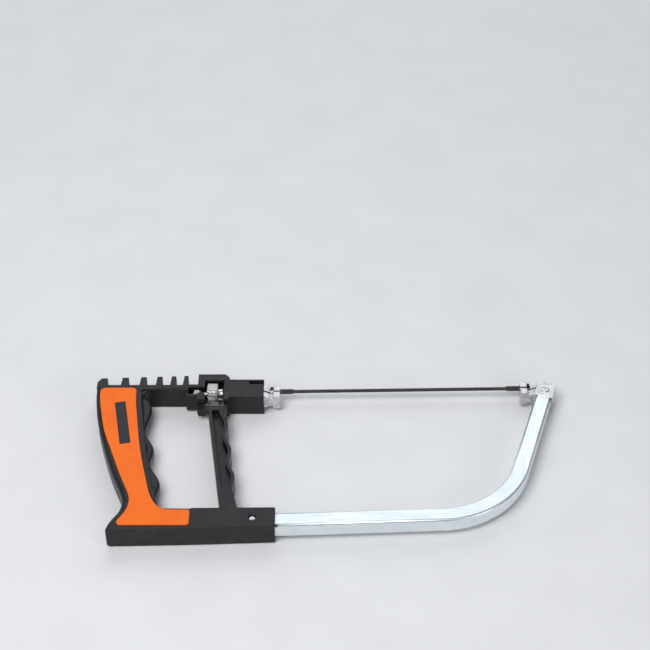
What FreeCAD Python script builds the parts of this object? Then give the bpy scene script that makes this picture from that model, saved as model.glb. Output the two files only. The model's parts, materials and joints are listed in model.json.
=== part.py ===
import FreeCAD, Part
import math
import os
import Sketcher

# Pinned-blade hacksaw lying on its side.
# X runs along the blade from the handle to the front, Y across the saw from the bow to the
# blade, and Z is its thickness. Every piece is drawn about the saw's mid-plane (z = 0) and its
# Placement lifts it so that the lower grip inlay rests at z = 0.

PIECES = []
SHEET = "Sizes"
FULL_TURN = 360.0
QUARTER_TURN = 90.0

SIZES = [
    # place of the drawing in the finished frame
    ("datum_x", -0.94, "Shift that puts the saw's box centre on X = 0"),
    ("datum_y", -0.85, "Shift that puts the saw's box centre on Y = 0"),
    # handle casting
    ("body_thickness", 18.0, "Handle casting, face to face"),
    ("grip_x", -169.8, "Back of the grip at its top"),
    ("bar_y", 60.0, "Underside of the castellated bar"),
    ("bar_height", 5.0, "Bar without its ribs"),
    ("rib_height", 7.0, "Ribs above the bar at the back"),
    ("rib_rise", 2.3, "Slope of the rib tops towards the front, degrees"),
    ("rib_width", 6.4, "First free-standing rib, at its foot"),
    ("rib_gap", 9.3, "First gap between ribs"),
    ("rib_shrink", 0.84, "Each gap against the one behind it"),
    ("rib_slim", 0.93, "Each rib's width against the one behind it"),
    ("rib_taper", 0.9, "Each rib's sides draw in towards its top"),
    ("corner_rib_width", 8.2, "Corner rib at the back of the grip"),
    ("hand_room", 115.0, "Hand opening, from bar to base"),
    ("base_wall", 1.9, "Socket below the bow at its inner end"),
    ("toe_drop", 1.2, "Toe of the grip below the base"),
    ("edge_round", 3.6, "Rounding of the grip's back"),
    ("front_round", 1.4, "Rounding of the grip's front"),
    ("ridge_half", 5.4, "Half thickness of the finger ridges"),
    ("ridge_round", 2.6, "Rounding of the finger ridges"),
    ("guard_x", -85.9, "Rear edge of the finger guard, 39 mm above the datum"),
    ("guard_lean", 7.6, "Lean of the guard, degrees"),
    ("guard_width", 10.4, "Guard at its valleys"),
    ("guard_half", 7.6, "Half thickness of the guard"),
    ("guard_web_half", 2.6, "Half thickness of the guard's web"),
    ("guard_wall", 2.6, "Walls round the guard's recess"),
    ("wave_height", 2.8, "Finger waves of the guard"),
    ("wave_pitch", 25.3, "Finger waves of the guard"),
    # nut housing and sleeve
    ("housing_x", -94.9, "Rear face of the nut housing"),
    ("housing_roof", 3.1, "Wall over the nut"),
    ("housing_wall", 5.2, "Rear wall of the housing"),
    ("housing_corner", 3.2, "Sloping corner at the front of the housing's top"),
    ("bar_curve", 7.0, "Curve between grip and bar in the hand opening"),
    ("window_length", 14.1, "Window for the nut, along the rod"),
    ("window_under", 5.6, "Window below the nut"),
    ("window_over", 5.8, "Upper edge of the window above the rod's axis"),
    ("sill_height", 5.0, "Sill below the window"),
    ("sill_half", 2.4, "Half thickness of the sill"),
    ("thrust_wall", 4.0, "Wall that the nut pulls against"),
    ("sleeve_length", 29.6, "Sleeve, from the window to its mouth"),
    ("sleeve_wall", 2.9, "Sleeve above and below the slide"),
    ("slit_length", 10.8, "Slit in the sleeve's mouth"),
    ("slit_height", 3.2, "Slit in the sleeve's mouth"),
    ("slit_drop", 3.1, "Slit's centre below the inside top of the sleeve"),
    ("pocket_length", 8.8, "Pocket behind the housing for the rod's end"),
    ("pocket_wall", 2.0, "Walls of that pocket"),
    ("pocket_half", 5.6, "Half thickness inside that pocket"),
    ("pocket_low", 57.0, "Lower edge of that pocket"),
    ("pocket_slot_high", 62.6, "Upper edge of the pocket's side slots"),
    ("pocket_room", 3.0, "Free room round the rod's end"),
    # tension gear
    ("rod_y", 64.2, "Axis of the threaded rod"),
    ("rod_radius", 2.5, "Threaded rod"),
    ("rod_overhang", 5.4, "Rod behind the nut"),
    ("rod_depth", 16.0, "Rod inside the slide bar"),
    ("rod_clearance", 0.3, "Round the rod in the housing's walls"),
    ("thread_clearance", 0.05, "Between nut and rod, on the radius"),
    ("nut_radius", 8.4, "Knurled nut"),
    ("nut_length", 8.6, "Knurled head of the nut"),
    ("collar_radius", 4.5, "Collar of the nut"),
    ("collar_length", 3.0, "Collar of the nut"),
    ("nut_room", 0.6, "Free room round the nut"),
    ("nut_chamfer", 0.7, "Edges of the nut"),
    ("washer_radius", 6.0, "Thrust washer"),
    ("washer_thickness", 1.2, "Thrust washer"),
    ("slide_y", 61.6, "Centre of the slide bar and rear post"),
    ("slide_height", 12.4, "Slide bar and posts"),
    ("slide_thickness", 12.0, "Slide bar and posts"),
    ("slide_clearance", 0.15, "Between slide bar and sleeve, each side"),
    ("slide_reserve", 3.5, "Room to tighten behind the slide bar"),
    ("slide_travel", 3.0, "Travel to loosen the blade"),
    ("rod_pin_radius", 1.5, "Cross pin through slide bar and rod"),
    ("clip_radius", 3.9, "Ring on the rod's end"),
    ("clip_thickness", 0.9, "Ring on the rod's end"),
    ("clip_inset", 0.6, "That ring's groove from the rod's end"),
    ("groove_depth", 0.4, "Groove for that ring, and the chamfer of the rod's end"),
    ("fit_clearance", 0.02, "Between pieces that fit into each other"),
    # blade
    ("pin_pitch", 190.8, "Blade, pin to pin"),
    ("rear_pin_x", -40.2, "Rear blade pin"),
    ("blade_drop", 1.2, "Blade's centre line below the posts' outer edge"),
    ("blade_thickness", 0.65, "Blade"),
    ("blade_end", 2.3, "Blade beyond its pins"),
    ("blade_room", 0.3, "Slot beyond the blade's end when it is loosened"),
    ("tab_height", 4.6, "Blade at its ends"),
    ("tab_length", 19.0, "Plain ends of the blade"),
    ("back_height", 1.5, "Blade's back below its centre line between the ends"),
    ("tooth_pitch", 1.45, "Teeth"),
    ("tooth_depth", 0.75, "Teeth"),
    ("pin_radius", 1.25, "Blade pins"),
    ("pin_length", 8.4, "Blade pins"),
    ("pin_gap", 0.05, "Between a pin and its post"),
    # posts, front holder and bow
    ("post_length", 4.9, "Both posts along the blade"),
    ("slot_width", 1.25, "Blade slots"),
    ("slot_depth", 4.6, "Blade slots below the posts' outer edge"),
    ("cross_slot_depth", 4.6, "Cross slots below the posts' faces"),
    ("cross_slot_length", 7.6, "Cross slots behind the posts"),
    ("rear_seat_drop", 3.4, "Bottom of the rear pin seat below the post's outer edge"),
    ("side_seat_drop", 2.6, "Bottom of the side seats below the posts' faces"),
    ("seat_inset", 0.9, "Bottom of each seat from its pin's axis"),
    ("seat_rise", 0.6, "Rise of each seat towards its post"),
    ("front_post_y", 65.3, "Centre of the front post"),
    ("arm_length", 7.2, "Front arm, post to saddle"),
    ("arm_drop", 3.1, "Top of the front arm at the saddle, below the post's outer edge"),
    ("front_seat_drop", 5.0, "Bottom of the front pin seat"),
    ("saddle_height", 15.0, "Saddle along the bow"),
    ("saddle_wall", 0.9, "Saddle round the bow"),
    ("saddle_rise", 4.4, "Top of the saddle above the front post's centre"),
    ("saddle_cap", 3.0, "Saddle above the bow's end"),
    ("rivet_radius", 1.9, "Saddle rivet"),
    ("rivet_head", 0.6, "Saddle rivet's heads"),
    ("rivet_rim", 1.1, "Saddle rivet's heads beyond its shank"),
    ("bow_size", 12.0, "Square tube of the bow"),
    ("bow_wall", 1.6, "Square tube of the bow"),
    ("bow_corner", 1.8, "Rounded corners of the tube"),
    ("bow_slope", 2.4, "Lower run of the bow, degrees"),
    ("bow_lean", 17.7, "Front leg of the bow from upright, degrees"),
    ("bow_bend", 63.0, "Centre-line radius of the bow"),
    ("bow_depth", 52.0, "Bow inside its socket"),
    ("bow_clearance", 0.12, "Between bow and socket, each side"),
    ("socket_x", -35.0, "Mouth of the lower socket"),
    ("socket_length", 58.0, "Lower socket"),
    ("socket_wall", 2.1, "Socket above the bow at its mouth"),
    ("bow_pin_radius", 2.75, "Bow pin"),
    ("bow_pin_inset", 15.6, "Bow pin from the socket's mouth"),
    ("bow_pin_recess", 1.0, "Bow pin's ends below the faces"),
    # grip inlays
    ("inlay_thickness", 2.2, "Inlays"),
    ("inlay_proud", 0.8, "Inlays above the faces"),
    ("inlay_clearance", 0.1, "Round each inlay"),
    ("plate_length", 42.3, "Nameplates"),
    ("plate_width", 7.6, "Nameplates"),
    ("plate_thickness", 0.5, "Nameplates"),
    ("plate_proud", -0.1, "Nameplates above the inlays"),
    ("plate_offset", 22.6, "Nameplates and inlay screw from the grip's back at its top"),
    ("plate_drop", 34.5, "Nameplates and inlay screw below the bar"),
    ("plate_turn", 100.0, "Lie of the nameplates, degrees"),
    ("inlay_round", 0.5, "Rounded rim of the inlays"),
    ("screw_radius", 1.6, "Inlay screw"),
    ("screw_head_radius", 2.9, "Heads of inlay screw and inlay nut"),
    ("screw_head_depth", 1.1, "Heads of inlay screw and inlay nut"),
    ("sleeve_nut_radius", 2.4, "Barrel of the inlay nut"),
    ("sleeve_nut_length", 8.0, "Barrel of the inlay nut"),
    ("screw_room", 0.6, "Solid bottom of the inlay nut's thread"),
    ("screw_gap", 1.0, "Screw head below the end of its seat"),
]

doc = FreeCAD.newDocument("Hacksaw")
sheet = doc.addObject("Spreadsheet::Sheet", SHEET)
for row, (alias, value, note) in enumerate(SIZES, start=1):
    sheet.set(f"A{row}", note)
    sheet.set(f"B{row}", str(value))
    sheet.setAlias(f"B{row}", alias)
doc.recompute()


def size(alias):
    return float(sheet.get(alias))


def bind(feature, **expressions):
    """Ties properties to the sheet. Underscores in a name stand for the dots of its path."""
    for path, expression in expressions.items():
        feature.setExpression(path.replace("__", "."), expression)
    return feature


def cell(text):
    """Writes an expression's sheet names in full: [rod_y] becomes Sizes.rod_y."""
    return text.replace("[", SHEET + ".").replace("]", "")


def at(feature, x="0", y="0", z="0"):
    bind(feature, Placement__Base__x=cell(x), Placement__Base__y=cell(y), Placement__Base__z=cell(z))
    return feature


def box(name, x, y, z, length, width, height):
    """Box from its low corner, all six values are expressions."""
    feature = doc.addObject("Part::Box", name)
    bind(feature, Length=cell(length), Width=cell(width), Height=cell(height))
    return at(feature, x, y, z)


def middle_box(name, x, y, length, width, half):
    """Box that lies evenly about the mid-plane."""
    return box(name, x, y, f"-({half})", length, width, f"2 * ({half})")


def upright(name, x, y, radius, half):
    """Cylinder across the saw, evenly about the mid-plane."""
    feature = doc.addObject("Part::Cylinder", name)
    bind(feature, Radius=cell(radius), Height=cell(f"2 * ({half})"))
    return at(feature, x, y, f"-({half})")


def along(name, x, y, radius, length):
    """Cylinder that points along +X."""
    feature = doc.addObject("Part::Cylinder", name)
    feature.Placement = FreeCAD.Placement(
        FreeCAD.Vector(0, 0, 0), FreeCAD.Rotation(FreeCAD.Vector(0, 1, 0), QUARTER_TURN))
    bind(feature, Radius=cell(radius), Height=cell(length))
    return at(feature, x, y, "0")


def fuse(name, *shapes):
    feature = doc.addObject("Part::MultiFuse", name)
    feature.Shapes = list(shapes)
    feature.Refine = True
    return feature


def cut(name, base, tool):
    feature = doc.addObject("Part::Cut", name)
    feature.Base = base
    feature.Tool = tool
    return feature


def shaped(name, shape):
    """Feature whose geometry lies where the shape lay, so that its own Placement stays free."""
    bare = shape.copy()
    bare.Placement = FreeCAD.Placement()
    feature = doc.addObject("Part::Feature", name)
    feature.Shape = bare.transformed(shape.Placement.toMatrix(), True)
    return feature


def piece(feature, label):
    """Names a finished sub-part and lifts it from the mid-plane to its place in the saw."""
    feature.Label = label
    at(feature, "[datum_x]", "[datum_y]", "[body_thickness] / 2 + [inlay_proud]")
    PIECES.append(feature)
    return feature


def vector(x, y, z=0.0):
    return FreeCAD.Vector(x, y, z)


def curve(points, start=None, end=None):
    """Smooth edge through the points, with its end directions if they are given."""
    spline = Part.BSplineCurve()
    tangents = {}
    if start is not None and end is not None:
        tangents = {"InitialTangent": vector(*start), "FinalTangent": vector(*end)}
    spline.interpolate(Points=[vector(*point) for point in points], **tangents)
    return spline.toShape()


def line(first, second):
    return Part.makeLine(vector(*first), vector(*second))


def slab(edges, low, high):
    """Solid between two levels from a closed outline."""
    wire = Part.Wire(Part.__sortEdges__(edges))
    face = Part.Face(wire)
    solid = face.extrude(vector(0, 0, high - low))
    solid.translate(vector(0, 0, low))
    return solid


def plate(points, half):
    """Straight-edged plate evenly about the mid-plane."""
    corners = list(points) + [points[0]]
    edges = [line(first, second) for first, second in zip(corners, corners[1:])]
    return slab(edges, -half, half)


def edges_at(shape, level):
    """Edges of a shape that lie wholly at one height."""
    found = []
    for edge in shape.Edges:
        bounds = edge.BoundBox
        if abs(bounds.ZMin - level) < 1e-4 and abs(bounds.ZMax - level) < 1e-4:
            found.append(edge)
    return found


def curved_edges(shape, half):
    """Freely curved edges of both faces of a slab, from the back of the saw to its front."""
    found = [edge for edge in edges_at(shape, half) + edges_at(shape, -half)
             if edge.Curve.TypeId == "Part::GeomBSplineCurve"]
    return sorted(found, key=lambda edge: edge.CenterOfMass.x)


# Places that several pieces share, worked out from the sheet.
half_body = size("body_thickness") / 2
base_y = size("bar_y") - size("hand_room")
socket_drop = size("socket_length") * math.tan(math.radians(size("bow_slope")))
base_height = size("socket_wall") + size("bow_size") + socket_drop + size("base_wall")
window_low = size("rod_y") - size("nut_radius") - size("window_under")
blade_rear_y = size("slide_y") + size("slide_height") / 2 - size("blade_drop")
blade_front_y = size("front_post_y") + size("slide_height") / 2 - size("blade_drop")
blade_angle = math.degrees(math.asin((blade_front_y - blade_rear_y) / size("pin_pitch")))
front_pin_x = size("rear_pin_x") + size("pin_pitch") * math.cos(math.radians(blade_angle))
rear_post_rear = size("rear_pin_x") + size("pin_radius") + size("pin_gap")
front_post_front = front_pin_x - size("pin_radius") - size("pin_gap")
window_x = size("housing_x") + size("housing_wall")
thrust_x = window_x + size("window_length")
sleeve_mouth = thrust_x + size("sleeve_length")
slide_rear = thrust_x + size("thrust_wall") + size("slide_reserve")
socket_rear = size("socket_x") - size("socket_length")


# ---------------------------------------------------------------- handle casting

def grip_at(offset, share):
    """Point of the grip: offset from its back at the top, share of the hand opening's height."""
    return (size("grip_x") + offset, base_y + share * size("hand_room"))


def base_at(offset, drop):
    """Point of the handle's base, measured down from the hand opening's lower edge."""
    return (size("grip_x") + offset, base_y - drop)


def grip_front():
    """Smooth front edge of the grip's faces, from the bar to the top of the base."""
    return [grip_at(34.2, 1.0), grip_at(36.0, 0.83), grip_at(39.6, 0.60), grip_at(43.5, 0.40),
            grip_at(48.0, 0.20), grip_at(52.0, 0.075), base_at(58.8, 0.2)]


def grip_outline(front_points, top):
    """Closed outline of the grip: back, toe, bottom, and the front edge given."""
    back = [grip_at(0.0, 1.02), grip_at(0.9, 0.90), grip_at(3.2, 0.77), grip_at(7.4, 0.61),
            grip_at(12.7, 0.45), grip_at(18.9, 0.29), grip_at(25.0, 0.16), grip_at(28.3, 0.06),
            base_at(26.6, 2.8), base_at(21.6, 11.2)]
    toe = base_at(19.4, base_height + size("toe_drop"))
    heel = (socket_rear, base_y - base_height)
    shelf = (socket_rear, base_y - 0.4)
    top_back = (size("grip_x") + 0.4, top)
    top_front = (front_points[0][0], top)
    last = front_points[-1]
    return [
        line(top_back, back[0]),
        curve(back, start=(0.0, -1.0), end=(-0.5, -1.0)),
        line(back[-1], toe),
        line(toe, heel),
        line(heel, shelf),
        line(shelf, last),
        curve(front_points, start=(0.0, -1.0), end=(1.0, 0.0)),
        line(front_points[0], top_front),
        line(top_front, top_back),
    ]


grip_top = size("bar_y") + size("bar_height")
grip_solid = slab(grip_outline(grip_front(), grip_top), -half_body, half_body)
back_edges = curved_edges(grip_solid, half_body)[:2]
grip_solid = grip_solid.makeFillet(size("edge_round"), back_edges)
front_edges = curved_edges(grip_solid, half_body)[-2:]
grip_blank = shaped("grip_blank", grip_solid.makeFillet(size("front_round"), front_edges))


def finger_ridge():
    """Wavy ridge between the fingers, on the mid-plane along the grip's front."""
    wave = [grip_at(34.6, 0.99), grip_at(41.6, 0.80), grip_at(39.8, 0.645), grip_at(46.3, 0.517),
            grip_at(45.1, 0.39), grip_at(53.0, 0.232), grip_at(51.6, 0.127), base_at(62.0, 0.2)]
    inner_top = grip_at(26.0, 0.99)
    inner_low = base_at(50.0, 6.0)
    outer_low = base_at(62.0, 6.0)
    edges = [curve(wave), line(wave[-1], outer_low), line(outer_low, inner_low),
             line(inner_low, inner_top), line(inner_top, wave[0])]
    ridge = slab(edges, -size("ridge_half"), size("ridge_half"))
    return ridge.makeFillet(size("ridge_round"), curved_edges(ridge, size("ridge_half")))


ridge_blank = shaped("finger_ridge", finger_ridge())


def bar_gusset():
    """Curved filling of the hand opening's upper rear corner."""
    radius = size("bar_curve")
    top = size("bar_y") + 1.0
    rear = grip_front()[0][0] - 1.5
    front = rear + 1.5 + radius
    low = size("bar_y") - radius
    bulge = radius * (1 - math.sqrt(0.5))
    edges = [line((rear, top), (rear, low)), line((rear, low), (front - radius, low)),
             Part.Arc(vector(front - radius, low), vector(front - radius + bulge, low + radius - bulge),
                      vector(front, size("bar_y"))).toShape(),
             line((front, size("bar_y")), (front, top)), line((front, top), (rear, top))]
    return slab(edges, -half_body + size("front_round"), half_body - size("front_round"))


gusset = shaped("bar_gusset", bar_gusset())


def rib(rear, foot_width, top):
    """One castellation of the bar, slightly narrower at its top."""
    foot = size("bar_y") + size("bar_height") - 1.0
    taper = size("rib_taper")
    return plate([(rear, foot), (rear + foot_width, foot), (rear + foot_width - taper, top),
                  (rear + taper, top)], half_body)


def rib_row():
    """Corner rib and the free-standing ribs, whose gaps and widths shrink towards the front."""
    slope = math.tan(math.radians(size("rib_rise")))
    foot = size("bar_y") + size("bar_height")
    start = size("grip_x")
    corner_top = foot + size("rib_height")
    solids = [plate([(start, foot - 3.0), (start + size("corner_rib_width"), foot - 3.0),
                     (start + size("corner_rib_width") - 0.8, corner_top),
                     (start + 3.0, corner_top), (start + 0.2, corner_top - 4.0)], half_body)]
    rear = start + size("corner_rib_width") + size("rib_gap")
    gap = size("rib_gap")
    width = size("rib_width")
    while rear + width < size("housing_x") - 1.5:
        solids.append(rib(rear, width, corner_top + (rear - start) * slope))
        gap *= size("rib_shrink")
        width *= size("rib_slim")
        rear += width + gap
    return solids[0].multiFuse(solids[1:])


ribs = shaped("rib_row", rib_row())


def guard_valley(y):
    """Front edge of the finger guard at the bottom of its waves."""
    return guard_rear(y) + size("guard_width")


def guard_rear(y):
    lean = math.tan(math.radians(size("guard_lean")))
    return size("guard_x") + (size("bar_y") - 21.0 - y) * lean


def guard_wave(offset):
    """Front outline of the guard, moved back by an offset, from its top to the base."""
    top = size("bar_y") - 21.0
    count = max(1, int((top - base_y) / size("wave_pitch")))
    points = []
    for index in range(4 * count + 1):
        y = top - index * size("wave_pitch") / 4
        swell = size("wave_height") * (1 - math.cos(index * math.pi / 2)) / 2
        points.append((guard_valley(y) + swell - offset, y))
    return points


def guard_solid():
    """Guard with a recess in each face between its straight rear rib and its wavy wall."""
    top = window_low - size("sill_height")
    wave = guard_wave(0.0)
    upper = (guard_rear(top), top)
    upper_front = (thrust_x + 3.0, top)
    lower_rear = (guard_rear(base_y - 3.0), base_y - 3.0)
    lower_front = (wave[-1][0] + 5.0, base_y - 3.0)
    outline = [line(upper, lower_rear), line(lower_rear, lower_front), line(lower_front, wave[-1]),
               curve(wave), line(wave[0], upper_front), line(upper_front, upper)]
    half = size("guard_half")
    solid = slab(outline, -half, half)
    wall = size("guard_wall")
    inner = guard_wave(wall)
    recess_top = top - 5.0
    recess_low = inner[-1][1] + 2.0
    middle = [point for point in inner if recess_low < point[1] < recess_top]
    rear_top = (guard_rear(recess_top) + wall, recess_top)
    front_top = (middle[0][0], recess_top)
    rear_low = (guard_rear(recess_low) + wall, recess_low)
    front_low = (middle[-1][0], recess_low)
    recess = [line(rear_top, rear_low), line(rear_low, front_low), line(front_low, middle[-1]),
              curve(middle), line(middle[0], front_top), line(front_top, rear_top)]
    upper_recess = slab(recess, size("guard_web_half"), half + 1)
    lower_recess = slab(recess, -half - 1, -size("guard_web_half"))
    return solid.cut(upper_recess).cut(lower_recess)


guard = shaped("guard", guard_solid())


def socket_outline():
    """Lower socket, which narrows a little towards its mouth."""
    mouth_axis = base_y - size("socket_wall") - size("bow_size") / 2
    mouth_high = mouth_axis + size("bow_size") / 2 + size("socket_wall")
    mouth_low = mouth_axis - size("bow_size") / 2 - size("socket_wall")
    return [(socket_rear, base_y - 0.4), (size("socket_x"), mouth_high + 0.2),
            (size("socket_x"), mouth_low), (socket_rear, base_y - base_height)]


socket = shaped("socket", plate(socket_outline(), half_body))
bow_mouth_y = base_y - size("socket_wall") - size("bow_size") / 2
bow_turn = QUARTER_TURN - size("bow_slope") - size("bow_lean")


# ------------------------------------------------------ housing, sleeve and their hollows

WINDOW_LOW = "[rod_y] - [nut_radius] - [window_under]"
housing = middle_box("housing", "[housing_x]", WINDOW_LOW,
                     "[housing_wall] + [window_length] + [thrust_wall]",
                     f"[rod_y] + [nut_radius] + [nut_room] + [housing_roof] - ({WINDOW_LOW})",
                     "[body_thickness] / 2")
sill = middle_box("sill", "[housing_x]", WINDOW_LOW + " - [sill_height]",
                  "[housing_wall] + [window_length] + [thrust_wall]",
                  "[sill_height] + 1", "[sill_half]")
pocket_block = middle_box("pocket_block", "[housing_x] - [pocket_length]",
                          "[pocket_low] - [pocket_wall]", "[pocket_length] + 1",
                          "[bar_y] + [bar_height] - [pocket_low] + 2 * [pocket_wall]",
                          "[pocket_half] + [pocket_wall]")
bar = middle_box("bar", "[grip_x] + [corner_rib_width]", "[bar_y]",
                 "[housing_x] - [grip_x] - [corner_rib_width] + 1", "[bar_height]",
                 "[body_thickness] / 2")
THRUST_X = "[housing_x] + [housing_wall] + [window_length]"
SLIDE_LOW = "[slide_y] - [slide_height] / 2"
sleeve = middle_box("sleeve", THRUST_X, SLIDE_LOW + " - [sleeve_wall]", "[sleeve_length]",
                    "[slide_height] + 2 * [sleeve_wall]", "[body_thickness] / 2")
casting = fuse("casting", grip_blank, ridge_blank, gusset, ribs, bar, pocket_block, housing, sill, sleeve,
               guard, socket)



def housing_corner():
    """Wedge that slopes the front corner of the housing's top."""
    front = thrust_x + size("thrust_wall")
    high = size("rod_y") + size("nut_radius") + size("nut_room") + size("housing_roof")
    reach = size("housing_corner")
    return plate([(front - reach, high), (front + 1, high - reach - 1), (front + 1, high + 1),
                  (front - reach, high + 1)], half_body + 1)


corner_cut = shaped("corner_cut", housing_corner())
WINDOW_X = "[housing_x] + [housing_wall]"
window = middle_box("window", WINDOW_X, WINDOW_LOW, "[window_length]",
                    "[nut_radius] + [window_under] + [window_over]", "[body_thickness]")
nut_bay = along("nut_bay", WINDOW_X, "[rod_y]", "[nut_radius] + [nut_room]", "[window_length]")
rod_bore = along("rod_bore", "[housing_x] - 1", "[rod_y]", "[rod_radius] + [rod_clearance]",
                 "[housing_wall] + [window_length] + [thrust_wall] + 2")
POCKET_X = "[housing_x] - [pocket_length] + [pocket_wall]"
POCKET_LENGTH = "[pocket_length] - [pocket_wall] + [housing_wall] + 0.1"
rod_pocket = middle_box("rod_pocket", POCKET_X, "[pocket_low]", POCKET_LENGTH,
                        "[rod_y] + [rod_radius] + [pocket_room] - [pocket_low]", "[pocket_half]")
pocket_slot = middle_box("pocket_slot", POCKET_X, "[pocket_low]", POCKET_LENGTH,
                         "[pocket_slot_high] - [pocket_low]", "[body_thickness]")
SLIDE_HALF = "[slide_thickness] / 2 + [slide_clearance]"
slide_bore = middle_box("slide_bore", THRUST_X + " + [thrust_wall]",
                        SLIDE_LOW + " - [slide_clearance]", "[sleeve_length]",
                        "[slide_height] + 2 * [slide_clearance]", SLIDE_HALF)
slit = middle_box("slit", THRUST_X + " + [sleeve_length] - [slit_length]",
                  "[slide_y] + [slide_height] / 2 - [slit_drop] + [sleeve_wall] - [slit_height] / 2",
                  "[slit_length] + 1", "[slit_height]", "[body_thickness]")
bow_pin_x = size("socket_x") - size("bow_pin_inset")
bow_pin_y = bow_mouth_y - size("bow_pin_inset") * math.tan(math.radians(size("bow_slope")))
BOW_PIN_X = "[socket_x] - [bow_pin_inset]"
BOW_MOUTH_Y = "[bar_y] - [hand_room] - [socket_wall] - [bow_size] / 2"
BOW_PIN_Y = BOW_MOUTH_Y + " - [bow_pin_inset] * tan([bow_slope] * 1 deg)"
bow_pin_bore = upright("bow_pin_bore", BOW_PIN_X, BOW_PIN_Y, "[bow_pin_radius] + [fit_clearance]",
                       "[body_thickness]")
bow_bore = doc.addObject("Part::Box", "bow_bore")
bow_bore.Placement = FreeCAD.Placement(vector(0, 0), FreeCAD.Rotation(vector(0, 0, 1), 1.0))
bind(bow_bore, Length=cell("[bow_depth] + 6"), Width=cell("[bow_size] + 2 * [bow_clearance]"),
     Height=cell("[bow_size] + 2 * [bow_clearance]"), Placement__Rotation__Angle=cell("[bow_slope]"))
BORE_HALF = "([bow_size] / 2 + [bow_clearance])"
at(bow_bore,
   f"[socket_x] - [bow_depth] * cos([bow_slope] * 1 deg) + {BORE_HALF} * sin([bow_slope] * 1 deg)",
   f"{BOW_MOUTH_Y} - [bow_depth] * sin([bow_slope] * 1 deg) - {BORE_HALF} * cos([bow_slope] * 1 deg)",
   f"-{BORE_HALF}")


# ---------------------------------------------------------------- grip inlays

def inlay_outline(room):
    """Outline of an inlay, or of its recess when room is larger than zero."""
    grow = room
    high = grip_at(3.4, 1.012)[1] + grow
    low = base_y - 16.2 - grow
    back = [(grip_at(3.3 - grow, 0)[0], high - 4.0), grip_at(5.6 - grow, 0.815),
            grip_at(9.8 - grow, 0.64), grip_at(15.9 - grow, 0.485), grip_at(23.5 - grow, 0.30),
            grip_at(29.9 - grow, 0.162), grip_at(33.4 - grow, 0.065), base_at(32.9 - grow, 0.0),
            base_at(30.1 - grow, 7.0), base_at(27.2 - grow, 11.5)]
    front = [(grip_at(30.0 + grow, 0)[0], high - 4.0), grip_at(32.4 + grow, 0.77),
             grip_at(35.9 + grow, 0.553), grip_at(39.6 + grow, 0.383), grip_at(44.0 + grow, 0.218),
             grip_at(48.3 + grow, 0.085), (size("grip_x") + 55.4 + grow, base_y - 0.4 + grow),
             (size("grip_x") + 63.0 + grow, base_y - 2.3 + grow)]
    right = socket_rear - 0.6 + grow
    shelf = base_y - 2.4 + grow
    corner = 2.2
    top_left = (back[0][0] + 4.0, high)
    top_right = (front[0][0] - 3.4, high)
    heel_left = (back[-1][0] + 1.6, low)
    return [
        curve(back, start=(0.0, -1.0), end=(-0.6, -1.0)),
        Part.Arc(vector(*back[-1]), vector(back[-1][0] - 0.2, (back[-1][1] + low) / 2 - 0.8),
                 vector(*heel_left)).toShape(),
        line(heel_left, (right - corner, low)),
        Part.Arc(vector(right - corner, low), vector(right - 0.65, low + 0.65),
                 vector(right, low + corner)).toShape(),
        line((right, low + corner), (right, shelf - corner)),
        Part.Arc(vector(right, shelf - corner), vector(right - 0.65, shelf - 0.65),
                 vector(right - corner, shelf)).toShape(),
        line((right - corner, shelf), front[-1]),
        curve(front, start=(0.0, -1.0), end=(1.0, 0.0)),
        Part.Arc(vector(*front[0]), vector(front[0][0] - 0.95, high - 1.05),
                 vector(*top_right)).toShape(),
        line(top_right, top_left),
        Part.Arc(vector(*top_left), vector(top_left[0] - 2.85, high - 1.15),
                 vector(*back[0])).toShape(),
    ]


def inlay_slab(room, low, high):
    return slab(inlay_outline(room), low, high)


inlay_floor = half_body + size("inlay_proud") - size("inlay_thickness")
inlay_top = half_body + size("inlay_proud")
recess_low = inlay_floor - size("fit_clearance")
upper_recess = shaped("upper_recess", inlay_slab(size("inlay_clearance"), recess_low, inlay_top + 1))
lower_recess = shaped("lower_recess", inlay_slab(size("inlay_clearance"), -inlay_top - 1, -recess_low))

# The nameplate lies along the grip and covers the screw that joins the two inlays.
SCREW_X = "[grip_x] + [plate_offset]"
SCREW_Y = "[bar_y] - [plate_drop]"
plate_centre = (size("grip_x") + size("plate_offset"), size("bar_y") - size("plate_drop"))
screw_bore = upright("screw_bore", SCREW_X, SCREW_Y,
                     "[sleeve_nut_radius] + [fit_clearance]", "[body_thickness]")
hollows = fuse("hollows", window, nut_bay, rod_bore, rod_pocket, pocket_slot, slide_bore, slit,
               bow_pin_bore, bow_bore, upper_recess, lower_recess, screw_bore, corner_cut)
piece(cut("handle_frame", casting, hollows), "handle_frame")


def turned_plate(room, low, high):
    """Nameplate, or its recess, as a plate turned to the lie of the grip."""
    length = size("plate_length") + 2 * room
    width = size("plate_width") + 2 * room
    solid = Part.makeBox(length, width, high - low, vector(-length / 2, -width / 2, low))
    solid.rotate(vector(0, 0), vector(0, 0, 1), size("plate_turn"))
    solid.translate(vector(*plate_centre))
    return solid


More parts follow.
